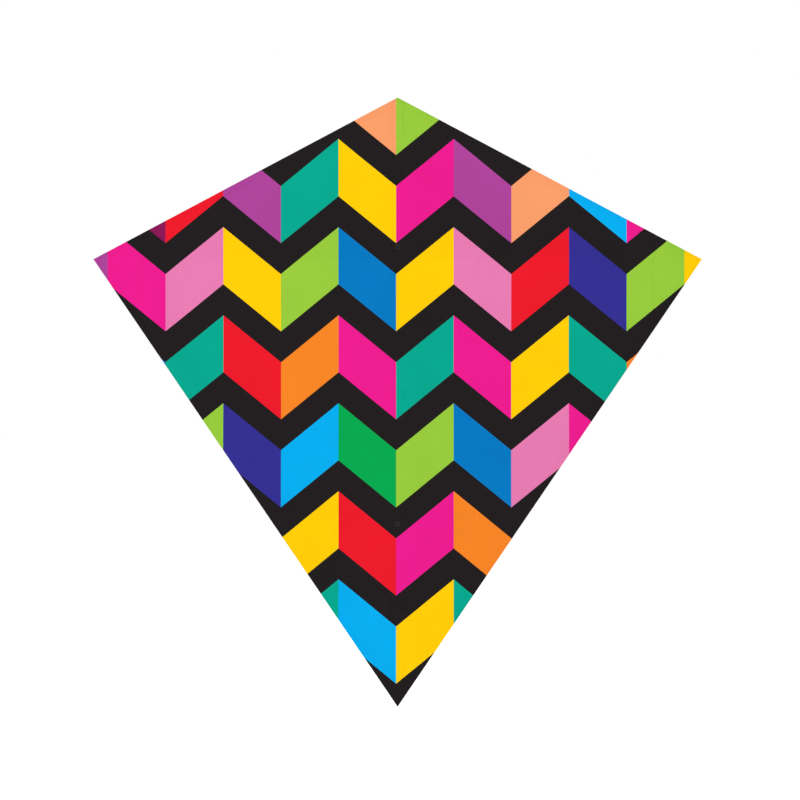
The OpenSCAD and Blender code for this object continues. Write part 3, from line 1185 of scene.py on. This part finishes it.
# The ribbon's rise at each step from its middle to its cut edge, as a share of its
# thickness, with a selvedge just inside the edge
RIBBON_FORM = (1.0, 1.0, 1.0, 1.178, 0.75)
RIBBON_T = 0.45 * MM
RIBBON_SEAMS = (0.7 * MM, 2.0 * MM)

# Where the loop rises: half of the neck's width, and half of the angle left open
RIBBON_NECK = 1.6 * MM
RIBBON_GAP = math.radians(32)
FOOT_STEPS = 6
LOOP_STEPS = 24


def ribbon_path(low, high, base):
    """The ribbon's line: a foot, a loop that closes as a teardrop, and the other foot."""
    middle_z, half_l = (low.z + high.z) / 2, (high.z - low.z) / 2
    radius = (high.y - low.y) / 2 - 0.25 * MM
    foot, loop = [], []
    for i in range(FOOT_STEPS):
        share = i / FOOT_STEPS
        foot.append((half_l * (1 - share) + RIBBON_NECK * share, 0.0))
    for i in range(LOOP_STEPS + 1):
        turn = RIBBON_GAP - math.pi / 2 + 2 * (math.pi - RIBBON_GAP) * i / LOOP_STEPS
        loop.append((radius * math.cos(turn), radius * (1 + math.sin(turn))))
    path = foot + loop + [(-z, y) for z, y in reversed(foot)]
    return [Vector((0, base + y, middle_z + z)) for z, y in path]


def tail_ribbon(sewn):
    """A ribbon folded into a loop, with both ends sewn to the tail patch."""
    low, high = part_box("tail_loop")
    base = patch_top(0, (low.z + high.z) / 2) + SEWN_GAP
    path = ribbon_path(low, high, base)
    half_w, edge_step = high.x, len(RIBBON_FORM) - 1
    bm = bmesh.new()
    spots, skins = {}, ([], [])
    walked = 0.0
    for i, centre in enumerate(path):
        before, after = path[max(0, i - 1)], path[min(len(path) - 1, i + 1)]
        step = (after - before).normalized()
        out = Vector((0, -step.z, step.y))
        walked += (centre - before).length
        for skin, lift in zip(skins, (RIBBON_T, 0.0)):
            row = []
            for k in range(-edge_step, edge_step + 1):
                x = half_w * k / edge_step
                place = centre + Vector((x, 0, 0)) + out * lift * RIBBON_FORM[abs(k)]
                row.append(bm.verts.new(place))
                spots[row[-1]] = (x, walked)
            skin.append(row)
    close_skins(bm, *skins)
    lay_uv(bm, spots.get)
    piece = new_piece("tail_ribbon", bm, [TAPE])
    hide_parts("tail_loop")
    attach(piece, "spine")
    seam_x = half_w - 0.5 * MM
    for end_z, inward in ((high.z, -1), (low.z, 1)):
        for gap in RIBBON_SEAMS:
            z = end_z + inward * gap
            sewn.straight((-seam_x, z), (seam_x, z), lambda x, z: base + RIBBON_T)


# ---- Eyelets ----

BORE_R = 1.5 * MM
BEAD_T = 0.5 * MM
BEAD_STEPS = 8
BARREL_INSET = 0.8 * MM
EYELET_STEPS = 40


def eyelet(name):
    """A rolled brass eyelet: a bead on each face around a smooth bore."""
    low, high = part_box(name)
    z, outer = (low.z + high.z) / 2, high.x
    bead_r, bead_w = (outer + BORE_R) / 2, (outer - BORE_R) / 2
    front, back = low.y + BEAD_T, high.y - BEAD_T
    barrel_r, bite = outer - BARREL_INSET, 0.1 * MM
    turns = [math.pi * i / BEAD_STEPS for i in range(BEAD_STEPS + 1)]
    profile = [(bead_r - bead_w * math.cos(t), front - BEAD_T * math.sin(t)) for t in turns]
    profile += [(barrel_r, front + bite), (barrel_r, back - bite)]
    profile += [(bead_r + bead_w * math.cos(t), back + BEAD_T * math.sin(t)) for t in turns]
    bm = bmesh.new()
    rings = []
    for i in range(EYELET_STEPS):
        turn = 2 * math.pi * i / EYELET_STEPS
        around = Vector((math.cos(turn), 0, math.sin(turn)))
        rings.append([bm.verts.new(around * r + Vector((0, y, z))) for r, y in profile])
    for a, b in zip(rings, rings[1:] + rings[:1]):
        for j in range(len(profile)):
            after = (j + 1) % len(profile)
            bm.faces.new((a[j], a[after], b[after], b[j]))
    bmesh.ops.recalc_face_normals(bm, faces=list(bm.faces))
    piece = new_piece(name.replace("eyelet", "grommet"), bm, [ENAMEL])
    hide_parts(name)
    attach(piece, "spine")


# ---- CAD nodes that stay ----

HUB_EDGE = 0.35 * MM
SMALL_EDGE = 0.3 * MM
PIN_EDGE = 0.15 * MM


def dress(node, material, bevel=0.0):
    """A finish for a CAD node, and edges as round as a mould leaves them."""
    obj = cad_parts[node]
    for slot in obj.material_slots:
        slot.material = material
    if bevel:
        weld = obj.modifiers.new("weld", "WELD")
        weld.merge_threshold = 0.001 * MM
        rounding = obj.modifiers.new("rounding", "BEVEL")
        rounding.width, rounding.segments = bevel, 3
        rounding.limit_method = "ANGLE"
        rounding.angle_limit = math.radians(SHARP_DEGREES)


# ---- Build ----

spine_sewn = Stitching("spine")
wing_sewn = {side: Stitching(f"wing_{side}") for side in SIDES}
patch("nose_patch", "spine", nose_outline(), spine_sewn)
patch("tail_patch", "spine", tail_outline(), spine_sewn)
upper_eyelet, lower_eyelet = eyelet_places()
patch("centre_patch", "spine", box_outline("centre_patch"), spine_sewn, upper_eyelet)
patch("bridle_patch", "spine", box_outline("bridle_patch"), spine_sewn, lower_eyelet)
for end in ("nose", "tail"):
    spine_pocket(end, spine_sewn)
for place in ("upper", "middle", "lower"):
    keeper(f"spine_keeper_{place}", spine_sewn)
tail_ribbon(spine_sewn)
for node in EYELETS:
    eyelet(node)
for piece in spine_sewn.pieces():
    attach(piece, "spine")

for side in SIDES:
    sewn_on = [patch(f"tip_patch_{side}", f"wing_{side}", tip_outline(side), wing_sewn[side])]
    tip_pocket(side, wing_sewn[side])
    for piece in wing_sewn[side].pieces():
        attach(piece, f"wing_{side}")
    for name in ("upper", "lower"):
        edge = Edge(name, side)
        sewn_on.append(tape(edge))
        sewn_on += tape_seams(edge)
    sail_half(side)

dress("spine_rod", SPINE_ROD)
dress("hub_body", NYLON, HUB_EDGE)
for node in ("nose_cap", "tail_cap", "stop_ring_upper", "stop_ring_lower"):
    dress(node, VINYL, SMALL_EDGE)
for side in SIDES:
    dress(f"spreader_{side}", CROSS_ROD)
    dress(f"spreader_cap_{side}", VINYL, SMALL_EDGE)
    dress(f"hub_arm_{side}", NYLON, SMALL_EDGE)
    dress(f"hinge_pin_{side}", STEEL, PIN_EDGE)

# ---- Camera, floor and light ----

# The camera sees this width at the sail, around a point near the sail's middle
VIEW_W = 1.0018
LENS, SENSOR = 100.0, 36.0
AIM = Vector((3.0 * MM, 0, (NOSE_Z + TAIL_Z) / 2 + 2.7 * MM))

# The floor is this far below the kite. It glows a little, and the camera sees the sky
# at full strength, so that both come out white around an evenly lit sail.
FLOOR_DROP = 0.16
FLOOR_SIZE = 30
FLOOR_GLOW = 0.46
SKY_LIGHT = 0.6

KEY_PLACE, KEY_SIZE, KEY_POWER = (-1.8, -3.0, 1.7), 2.2, 34
BACK_PLACE, BACK_SIZE, BACK_POWER = (2.2, 2.6, 2.0), 1.4, 40


def add_camera():
    data = bpy.data.cameras.new("camera")
    data.lens, data.sensor_width = LENS, SENSOR
    camera = bpy.data.objects.new("camera", data)
    camera.location = AIM - Vector((0, VIEW_W * LENS / SENSOR, 0))
    camera.rotation_euler = (math.pi / 2, 0, 0)
    bpy.context.scene.collection.objects.link(camera)
    bpy.context.scene.camera = camera


def add_floor():
    bm = bmesh.new()
    bmesh.ops.create_grid(bm, x_segments=8, y_segments=8, size=FLOOR_SIZE)
    n = Nodes("floor_white")
    n.tint(linear("F6F6F6"), n.math("MULTIPLY_ADD", n.noise(object_place(n), 3.0), 0.01, 1.0))
    n.set(Roughness=0.9, Specular_IOR_Level=0.0, Emission_Strength=FLOOR_GLOW)
    n.set(Emission_Color=(1, 1, 1, 1))
    floor = new_piece("floor", bm, [n.material], sharp_degrees=0)
    floor.location.z = TAIL_Z - FLOOR_DROP


def add_world():
    world = bpy.data.worlds.new("studio")
    world.use_nodes = True
    tree = world.node_tree
    background = tree.nodes["Background"]
    path = tree.nodes.new("ShaderNodeLightPath")
    level = tree.nodes.new("ShaderNodeMapRange")
    level.inputs["To Min"].default_value = SKY_LIGHT
    level.inputs["To Max"].default_value = 1.0
    tree.links.new(path.outputs["Is Camera Ray"], level.inputs["Value"])
    tree.links.new(level.outputs["Result"], background.inputs["Strength"])
    background.inputs["Color"].default_value = (1, 1, 1, 1)
    bpy.context.scene.world = world


def add_soft_light(name, place, size, power):
    data = bpy.data.lights.new(name, "AREA")
    data.size, data.energy = size, power
    lamp = bpy.data.objects.new(name, data)
    lamp.location = place
    lamp.rotation_euler = (AIM - Vector(place)).to_track_quat("-Z", "Y").to_euler()
    bpy.context.scene.collection.objects.link(lamp)


add_camera()
add_floor()
add_world()
add_soft_light("key", KEY_PLACE, KEY_SIZE, KEY_POWER)
add_soft_light("back", BACK_PLACE, BACK_SIZE, BACK_POWER)
bpy.context.scene.view_settings.view_transform = "Standard"
